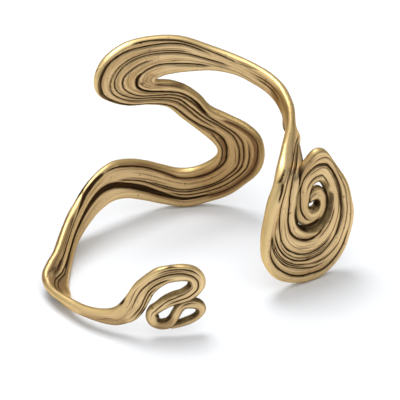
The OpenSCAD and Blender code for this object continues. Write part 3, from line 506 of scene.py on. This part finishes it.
# one face of a section: share across, height and darkness of each point,
# with a for its lower and b for its upper edge
def faceProfile(width, thick, rimB, roundA, roundB, relief, here):
    rimA = ribbon["lowerRim"] * thick
    squeeze = min(1.0, ribbon["rimsTogether"] * width / (ribbon["rimFoot"] * (rimA + rimB)))
    plate = ribbon["plate"] * thick
    powerA, powerB = [2 + (ribbon["fullRoundness"] - roundness) * ribbon["squareness"]
                      for roundness in (roundA, roundB)]
    reachA, reachB = squeeze * rimA / width, squeeze * rimB / width

    def height(x):
        inA, inB = x / reachA, (1 - x) / reachB
        for rim, far, power in ((rimA, inA, powerA), (rimB, inB, powerB)):
            if far < 1:
                return rim * (1 - (1 - far) ** power) ** (1 / power)
        foot = ribbon["rimFoot"] + ribbon["rimSlope"]
        upA, upB = [1 - smooth((far - 1) / (foot - 1)) for far in (inA, inB)]
        return plate + (rimA - plate) * upA + (rimB - plate) * upB

    def cut(x):
        low = dark = stainAndShade = 0.0
        for share, depth, reach, shade, brown, flat in here:
            away = max(0.0, abs(x - share) - flat) * width
            line = ribbon["lineWidth"] + ribbon["lineGrowth"] * depth
            far = away / (reach * ribbon["spread"])
            if far < 1:
                low = max(low, depth * (1 - far) ** 2)
            if away < line:
                dark = max(dark, shade * (1 - (away / line) ** ribbon["lineEdge"]))
            halo = max(ribbon["haloLeast"], reach * ribbon["haloReach"])
            stainAndShade = max(stainAndShade, brown * math.exp(-(away / halo) ** 2))
        return low, dark, stainAndShade

    def beadShares(reach, power):
        beads = ribbon["beadPoints"]
        return [reach * (1 - math.cos(math.pi / 2 * k / beads) ** (2 / power)) for k in range(beads)]

    # more points where the grooves lie
    fine, field = ribbon["fineCells"], 1 - reachA - reachB
    weights = [0.0]
    for k in range(fine):
        x = reachA + field * (k + 0.5) / fine
        weight = 1.0
        for share, depth, _, _, _, flat in here:
            far = (abs(x - share) - flat) * width / ribbon["pullReach"]
            weight += ribbon["pull"] * math.sqrt(max(0.0, depth)) * math.exp(-far * far)
        weights.append(weights[-1] + weight)
    shares = beadShares(reachA, powerA)
    at = 0
    for k in range(ribbon["facePoints"]):
        want = weights[-1] * k / (ribbon["facePoints"] - 1)
        while at < fine - 1 and weights[at + 1] < want:
            at += 1
        part = (want - weights[at]) / (weights[at + 1] - weights[at])
        shares.append(reachA + field * (at + part) / fine)
    shares += [1 - share for share in reversed(beadShares(reachB, powerB))]
    points = []
    power = ribbon["plainPower"]
    for x in shares:
        plain = 0.5 * thick * max(0.0, 1 - abs(2 * x - 1) ** power) ** (1 / power)
        low, dark, stainAndShade = cut(x)
        low *= min(1.0, ribbon["edgeRise"] * min(x, 1 - x) * width)
        high = (height(x) - low) * relief + (plain - ribbon["plainCut"] * low) * (1 - relief)
        rim = max(1 - smooth(far * ribbon["rimFade"]) for far in (x / reachA, (1 - x) / reachB))
        points.append((x, high, (dark, stainAndShade, rim)))
    return points


# mostly painted shade on the ribbon's sides where they face gaps, holes and creases, partly dark patina: (row, share)
sideShade = {
    "lower": [(0, 0.3), (1.2, 0.9), (3, 0.9), (6.5, 0.75), (8, 0.5), (11.5, 0.35), (12.2, 0.9), (13, 0.6),
        (13.8, 0.8), (16.6, 1), (17.2, 0.5), (19, 0.6), (21, 0.7), (22.5, 0.3), (30, 0.6), (31, 0.9), (34.5, 0.9),
        (35.5, 0.5), (36.5, 0.8), (38.2, 0.9), (39, 0.3), (48, 0.2), (85, 0.1), (91, 0.3), (92, 0.55), (95, 0.45),
        (96.3, 0.65), (98, 0.75), (99.3, 0.55), (102, 0.55), (103, 0.2), (105, 0.35), (110, 0.45), (114, 0.6),
        (118, 0.65), (122, 0.55)],
    "upper": [(0, 0.3), (3.3, 0.3), (4, 0.9), (7, 0.9), (7.5, 0.8), (9.5, 1), (10.3, 0.6), (11, 0.25), (14.8, 0.4),
        (15.3, 0.9), (16, 0.8), (16.6, 0.2), (22, 0), (85, 0), (97, 0.1), (99.3, 0.3), (99.8, 0.75), (101.6, 0.75),
        (102.2, 0.3), (103.2, 0.5), (104, 0.7), (109, 0.7), (110, 0.5), (111, 0.55), (112, 0.65), (114.5, 0.6),
        (115.2, 0.3), (122, 0.4)],
}

# how brown the brass has become, with painted shade darkening the inner faces of the middle run and right turn: (row,
# share) on the outward and the inner face
tarnishAndShade = {
    "outside": [(0, 0.4), (10, 0.35), (14, 0.6), (17, 0.5), (20, 0.34), (27, 0.22), (31, 0.14), (34, 0.22),
        (36, 0.25), (40, 0.22), (84, 0.5), (89, 0.6), (91, 0.35), (95, 0.12), (101, 0.06), (104, 0.25), (107, 0.6),
        (110, 0.45), (113, 0.3), (122, 0.5)],
    "inside": [(0, 0.4), (36, 0.4), (40, 0.95), (42.8, 0.9), (44, 0.5), (46, 0.35), (47.5, 0.15), (49, 0.05),
        (53, 0.05), (55, 0.08), (56.5, 0.25), (58, 0.4), (60, 0.8), (63, 1), (67, 0.95), (69, 0.6), (71, 0.35),
        (73, 0.15), (77, 0.1), (80, 0.12), (84, 0.3), (122, 0.35)],
}


def buildRibbon():
    stations = ribbonStations(ribbonRows())
    middles = [Vector(s[3:6]) for _, s in stations]
    alongs = [0.0]
    for a, b in zip(middles, middles[1:]):
        alongs.append(alongs[-1] + (b - a).length)
    rowKnots = [(row, along) for (row, _), along in zip(stations, alongs)]
    known = {}

    def alongOf(row):
        if row not in known:
            known[row] = between(rowKnots, row)
        return known[row]

    lines = grooveLines()
    rings, shades, places = [], [], []
    last = len(stations) - 1
    for i, (row, s) in enumerate(stations):
        low, middle, high = Vector(s[0:3]), Vector(s[3:6]), Vector(s[6:9])
        width, halfThick = (high - low).length, 0.5 * s[9]
        normal = (middles[min(last, i + 1)] - middles[max(0, i - 1)]).cross(high - low).normalized()
        here = groovesAt(lines, row, alongs[i], alongOf)
        points = faceProfile(width, *s[9:14], here)
        sideA, sideB = between(sideShade["lower"], row), between(sideShade["upper"], row)
        # tarnish, with painted shade on the inner faces of the middle run
        tarnishShadeOut, tarnishShadeIn = between(tarnishAndShade["outside"], row), between(tarnishAndShade["inside"], row)
        ring, shade, place = [], [], []

        def add(x, up, dark, side):
            ring.append(low * (1 - x) * (1 - 2 * x) + middle * 4 * x * (1 - x) + high * x * (2 * x - 1)
                        + normal * up)
            # painted shade on the sides that face gaps, holes and creases joins the groove darkness
            nearA, nearB = 1 - x * width / halfThick, 1 - (1 - x) * width / halfThick
            paintedShade = max(sideA * smooth(nearA * ribbon["sideReach"]), sideB * smooth(nearB * ribbon["sideReach"]))
            shade.append((max(dark[0], paintedShade), dark[1], dark[2], tarnishShadeOut if side > 0 else tarnishShadeIn))
            place.append((alongs[i], x * ribbon["mapBreadth"] + (0 if side > 0 else ribbon["mapBack"])))

        for x, up, dark in points:
            add(x, up, dark, 1)
        add(1.0, 0.0, (0.0, 0.0, 1.0), 1)
        for x, up, dark in reversed(points[1:]):
            add(x, -up, dark, -1)
        rings.append(ring)
        shades.append(shade)
        places.append(place)
    # rounded tips at both ends
    for end, inner in ((0, 1), (-1, -2)):
        ring = rings[end]
        centre = sum(ring, Vector()) / len(ring)
        away = (middles[end] - middles[inner]).normalized()
        for angle in ribbon["tipAngles"]:
            turn = math.radians(angle)
            tip = [centre + (p - centre) * math.cos(turn) + away * ribbon["tip"] * math.sin(turn)
                   for p in ring]
            for table, added in ((rings, tip), (shades, shades[end]), (places, places[end])):
                table.insert(0 if end == 0 else len(table), added)
    return rings, shades, places


def makeCuff(rings, shades, places):
    count, around = len(rings), len(rings[0])
    bpy.ops.mesh.primitive_grid_add(x_subdivisions=around, y_subdivisions=count - 1, size=ribbon["gridSize"])
    cuff = bpy.context.object
    mesh = cuff.data
    cuff.name = mesh.name = "cuffRelief"
    # stretched to stand on the floor and end at the solid's own height
    low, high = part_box("cuff")
    heights = [p.z for ring in rings for p in ring]
    bottom, top = min(heights), max(heights)
    stretch = (high[2] - low[2]) / ((top - bottom) * mm)
    flat, dark = [], []
    # the grid has one column more than the ring, so that its last closes it
    for i in range(count):
        for j in range(around + 1):
            p = rings[i][j % around]
            flat += [p.x * mm, p.y * mm, (p.z - bottom) * stretch * mm]
            dark.append(shades[i][j % around])
    mesh.vertices.foreach_set("co", flat)
    # the groove, stain and tarnish attributes also carry painted shade
    for k, name in enumerate(("groove", "stainAndShade", "rim", "tarnishAndShade")):
        layer = mesh.attributes.new(name, "FLOAT", "POINT")
        layer.data.foreach_set("value", [shade[k] for shade in dark])
    uvs = mesh.uv_layers.active
    uvs.name = "ribbonMap"
    spots = []
    for loop in mesh.loops:
        i, j = divmod(loop.vertex_index, around + 1)
        spots += [value * ribbon["mapScale"] for value in places[i][j % around]]
    uvs.data.foreach_set("uv", spots)
    mesh.update()
    bpy.ops.object.mode_set(mode="EDIT")
    bpy.ops.mesh.select_all(action="SELECT")
    bpy.ops.mesh.remove_doubles(threshold=ribbon["mergeReach"])
    bpy.ops.mesh.normals_make_consistent(inside=False)
    bpy.ops.object.mode_set(mode="OBJECT")
    bpy.ops.object.shade_smooth()
    return cuff


cuff = makeCuff(*buildRibbon())
triangles = sum(len(face.vertices) - 2 for face in cuff.data.polygons)
print("cuff:", len(cuff.data.vertices), "points,", triangles, "triangles")


# gives a socket another one's value, or a constant
def feed(tree, socket, value):
    if isinstance(value, bpy.types.NodeSocket):
        tree.links.new(value, socket)
    elif socket.type == "RGBA":
        socket.default_value = (*value, 1)
    else:
        socket.default_value = value


def addNode(tree, kind, place, inputs=None, **values):
    node = tree.nodes.new("ShaderNode" + kind)
    node.location = place
    for name, value in values.items():
        setattr(node, name, value)
    for name, value in (inputs or {}).items():
        feed(tree, node.inputs[name], value)
    return node


def maths(tree, operation, place, *values, clamp=False):
    node = addNode(tree, "Math", place, operation=operation, use_clamp=clamp)
    for socket, value in zip(node.inputs, values):
        feed(tree, socket, value)
    return node.outputs[0]


def noise(tree, place, inputs):
    return addNode(tree, "TexNoise", place, inputs).outputs["Fac"]


def mapRange(tree, place, value, limits):
    return addNode(tree, "MapRange", place, {"Value": value, **limits}).outputs["Result"]


# a node group, the sockets that it starts from and those that it ends in; an
# input's value is its number, or none for a vector
def newGroup(name, inputs, outputs):
    tree = bpy.data.node_groups.new(name, "ShaderNodeTree")
    newSocket = tree.interface.new_socket
    for label, value in inputs.items():
        if value is None:
            newSocket(name=label, in_out="INPUT", socket_type="NodeSocketVector")
        else:
            newSocket(name=label, in_out="INPUT", socket_type="NodeSocketFloat").default_value = value
    for label in outputs:
        newSocket(name=label, in_out="OUTPUT", socket_type="NodeSocketFloat")
    start, end = tree.nodes.new("NodeGroupInput"), tree.nodes.new("NodeGroupOutput")
    start.location, end.location = (-1000, 0), (800, 0)
    return tree, start.outputs, end.inputs


patinaSettings = {
    "blotches": {"Detail": 5, "Roughness": 0.6},
    "blotchGain": 1.1,
    "blotchBase": 0.45,
    "clouds": {"Detail": 3, "Scale": 55},
    "cloudRange": {"From Min": 0.35, "From Max": 0.68},
}


# dark residue that sits in grooves and thins out towards the polished ridges, and painted shade on the sides of the
# ribbon that face gaps and holes, both from the groove mask
def patinaShadeGroup(settings):
    tree, start, end = newGroup(
        "groovePatina", {"Vector": None, "GrooveAndShade": 0.0, "Amount": 1.0, "Blotch Scale": 120.0},
        ("PatinaAndShade", "Tarnish"))
    blotches = noise(tree, (-650, 200), {
        "Vector": start["Vector"], "Scale": start["Blotch Scale"], **settings["blotches"]})
    spread = maths(tree, "MULTIPLY_ADD", (-420, 200), blotches, settings["blotchGain"], settings["blotchBase"])
    held = maths(tree, "MULTIPLY", (-200, 100), spread, start["GrooveAndShade"])
    feed(tree, end["PatinaAndShade"], maths(tree, "MULTIPLY", (0, 60), held, start["Amount"], clamp=True))
    clouds = noise(tree, (-650, -200), {"Vector": start["Vector"], **settings["clouds"]})
    feed(tree, end["Tarnish"], mapRange(tree, (-200, -200), clouds, settings["cloudRange"]))
    return tree


wearSettings = {
    "markStretch": (6, 420, 1),
    "marks": {"Detail": 4},
    "pits": {"Detail": 2},
    "pitRange": {"From Min": 0.66, "From Max": 0.76},
    "waves": {"Scale": 260, "Detail": 3},
    "markHeight": -0.7,
    "pitHeight": -0.8,
}


# fine rubbing marks along the ribbon, small casting pits and a soft unevenness
def wearGroup(settings):
    tree, start, end = newGroup(
        "castWear", {"Vector": None, "Ribbon": None, "Mark Scale": 1.0, "Pit Scale": 900.0},
        ("Marks", "Pits", "Height"))
    lie = addNode(tree, "Mapping", (-780, 250), {
        "Vector": start["Ribbon"], "Scale": settings["markStretch"]})
    marks = noise(tree, (-560, 250), {
        "Vector": lie.outputs[0], "Scale": start["Mark Scale"], **settings["marks"]})
    pits = noise(tree, (-560, -50), {
        "Vector": start["Vector"], "Scale": start["Pit Scale"], **settings["pits"]})
    sharp = mapRange(tree, (-340, -50), pits, settings["pitRange"])
    waves = noise(tree, (-560, -300), {"Vector": start["Vector"], **settings["waves"]})
    uneven = maths(tree, "MULTIPLY_ADD", (-100, 100), marks, settings["markHeight"], waves)
    height = maths(tree, "MULTIPLY_ADD", (150, 0), sharp, settings["pitHeight"], uneven)
    for name, value in (("Marks", marks), ("Pits", sharp), ("Height", height)):
        feed(tree, end[name], value)
    return tree


brassFinish = {
    "bright": (0.95, 0.71, 0.385),
    "warm": (0.39, 0.23, 0.08),
    "rim": (0.70, 0.52, 0.22),
    "brown": (0.20, 0.105, 0.045),
    "residueAndShade": (0.036, 0.019, 0.008),
    "edge": (0.95, 0.78, 0.52),
    "patinaShade": {"Amount": 1.25, "Blotch Scale": 420.0},
    "wear": {"Mark Scale": 1.0, "Pit Scale": 900.0},
    "cloudShare": 0.20,  # shares of the warm, the rim's and the pits' colour
    "warmShare": 0.80,
    "rimShare": 0.60,
    "pitShare": 0.5,
    "streaks": {"From Min": 0.48, "From Max": 0.64, "To Max": 0.45},
    "roughness": {"To Min": 0.24, "To Max": 0.40},
    "rimRoughness": 0.10,  # what the rims and the residue add
    "darkRoughness": 0.40,
    "bump": {"Strength": 0.35, "Distance": 0.00012},
}


def agedBrass(settings):
    material = bpy.data.materials.new("agedBrass")
    material.use_nodes = True
    tree = material.node_tree
    tree.nodes.clear()

    def mask(name, place):
        return addNode(tree, "Attribute", place, attribute_name=name).outputs["Fac"]

    def addScaled(first, factor, second, place):
        return maths(tree, "MULTIPLY_ADD", place, first, factor, second, clamp=True)

    def blend(factor, low, high, place):
        return addNode(tree, "Mix", place, data_type="RGBA",
                       inputs={"Factor": factor, "A": low, "B": high}).outputs["Result"]

    where = addNode(tree, "TexCoord", (-1300, 100)).outputs["Object"]
    along = addNode(tree, "UVMap", (-1300, -300), uv_map="ribbonMap").outputs[0]
    # the groove mask holds the grooves' residue and painted shade on the ribbon's sides
    groove, stainAndShade = mask("groove", (-1300, -100)), mask("stainAndShade", (-1300, 500))
    rim, tarnishShadeMask = mask("rim", (-1300, 700)), mask("tarnishAndShade", (-1300, 900))
    patinaShade = addNode(tree, "Group", (-900, 100), {
        "Vector": where, "GrooveAndShade": groove, **settings["patinaShade"]},
        node_tree=patinaShadeGroup(patinaSettings)).outputs
    wear = addNode(tree, "Group", (-900, -250), {
        "Vector": where, "Ribbon": along, **settings["wear"]},
        node_tree=wearGroup(wearSettings)).outputs
    # clean brass, browner where it is tarnished and where shade is painted on the inner faces, deep yellow on the
    # rims
    clouds = addScaled(patinaShade["Tarnish"], settings["cloudShare"], 0.0, (-600, 400))
    agedAndShaded = addScaled(tarnishShadeMask, settings["warmShare"], clouds, (-400, 500))
    tone = blend(agedAndShaded, settings["bright"], settings["warm"], (-200, 400))
    tone = blend(addScaled(rim, settings["rimShare"], 0.0, (-200, 650)), tone, settings["rim"], (0, 400))
    # brown haloes beside the grooves, brown bands (some of them painted shade) and brown streaks along the ribbon
    streaks = mapRange(tree, (-400, 0), wear["Marks"], settings["streaks"])
    bare = maths(tree, "SUBTRACT", (-200, 0), streaks, rim, clamp=True)
    tone = blend(addScaled(stainAndShade, 1.0, bare, (0, 150)), tone, settings["brown"], (250, 300))
    # the residue and the painted shade are streaked too
    dark = addScaled(wear["Pits"], settings["pitShare"], patinaShade["PatinaAndShade"], (250, 0))
    deep = blend(streaks, settings["residueAndShade"], settings["brown"], (250, 550))
    rough = mapRange(tree, (250, -200), wear["Marks"], settings["roughness"])
    worn = addScaled(rim, settings["rimRoughness"], rough, (500, -150))
    bump = addNode(tree, "Bump", (750, -350), {"Height": wear["Height"], **settings["bump"]})
    shader = addNode(tree, "BsdfPrincipled", (1200, 0), {
        "Base Color": blend(dark, tone, deep, (500, 200)),
        "Metallic": 1.0,
        "Specular IOR Level": 0.5,
        "Specular Tint": settings["edge"],
        "Roughness": addScaled(dark, settings["darkRoughness"], worn, (750, -100)),
        "Normal": bump.outputs[0],
    })
    addNode(tree, "OutputMaterial", (1500, 0), {"Surface": shader.outputs[0]})
    return material


cuff.data.materials.append(agedBrass(brassFinish))
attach(cuff, "root")
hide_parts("cuff")
print("brass finish applied")

# floor, light and background
studio = {
    "floorSize": 3.0,
    "floorColor": (0.765, 0.785, 0.815),
    "floorRoughness": 0.9,
    "floorShine": 0.1,
    # height, brightness
    "sky": [(0.0, 0.10), (0.12, 0.20), (0.45, 0.62), (0.75, 0.55), (1.0, 0.60)],
    "skyStrength": 0.85,
    "target": (0, 0, 0.02),
    # name, place, size, power, colour
    "lights": [
        ("keyLight", (0.0, 0.236, 0.85), 0.42, 5.2, (1.0, 1.0, 1.0)),
        ("topFill", (-0.10, -0.40, 1.0), 0.9, 3.9, (1.0, 1.0, 1.0)),
        ("leftFill", (-0.70, 0.12, 0.42), 0.8, 1.5, (1.0, 0.99, 0.97)),
    ],
}


def makeStudio(settings):
    bpy.ops.mesh.primitive_plane_add(size=settings["floorSize"])
    floor = bpy.context.object
    floor.name = "studioFloor"
    material = bpy.data.materials.new("paleFloor")
    material.use_nodes = True
    shader = material.node_tree.nodes["Principled BSDF"]
    shader.inputs["Base Color"].default_value = (*settings["floorColor"], 1)
    shader.inputs["Roughness"].default_value = settings["floorRoughness"]
    shader.inputs["Specular IOR Level"].default_value = settings["floorShine"]
    floor.data.materials.append(material)
    # a soft sky, dim at the horizon so that the metal's edges show
    world = bpy.data.worlds.new("studioWorld")
    bpy.context.scene.world = world
    world.use_nodes = True
    tree = world.node_tree
    sky = tree.nodes["Background"]
    where = addNode(tree, "TexCoord", (-900, 0))
    split = addNode(tree, "SeparateXYZ", (-700, 0), {0: where.outputs["Generated"]})
    tones = addNode(tree, "ValToRGB", (-500, 0), {"Fac": split.outputs["Z"]})
    points = tones.color_ramp.elements
    points.remove(points[-1])
    points[0].color = (settings["sky"][0][1],) * 3 + (1,)
    for height, bright in settings["sky"][1:]:
        points.new(height).color = (bright,) * 3 + (1,)
    feed(tree, sky.inputs["Color"], tones.outputs["Color"])
    feed(tree, sky.inputs["Strength"], settings["skyStrength"])
    for name, place, size, power, color in settings["lights"]:
        data = bpy.data.lights.new(name, "AREA")
        data.size = size
        data.energy = power
        data.color = color
        light = bpy.data.objects.new(name, data)
        bpy.context.scene.collection.objects.link(light)
        aim(light, place, settings["target"])
    view = bpy.context.scene.view_settings
    view.view_transform = "Standard"
    view.look = "None"


makeStudio(studio)
print("studio ready")


def plain(box):
    return [[float(v) for v in corner] for corner in box]
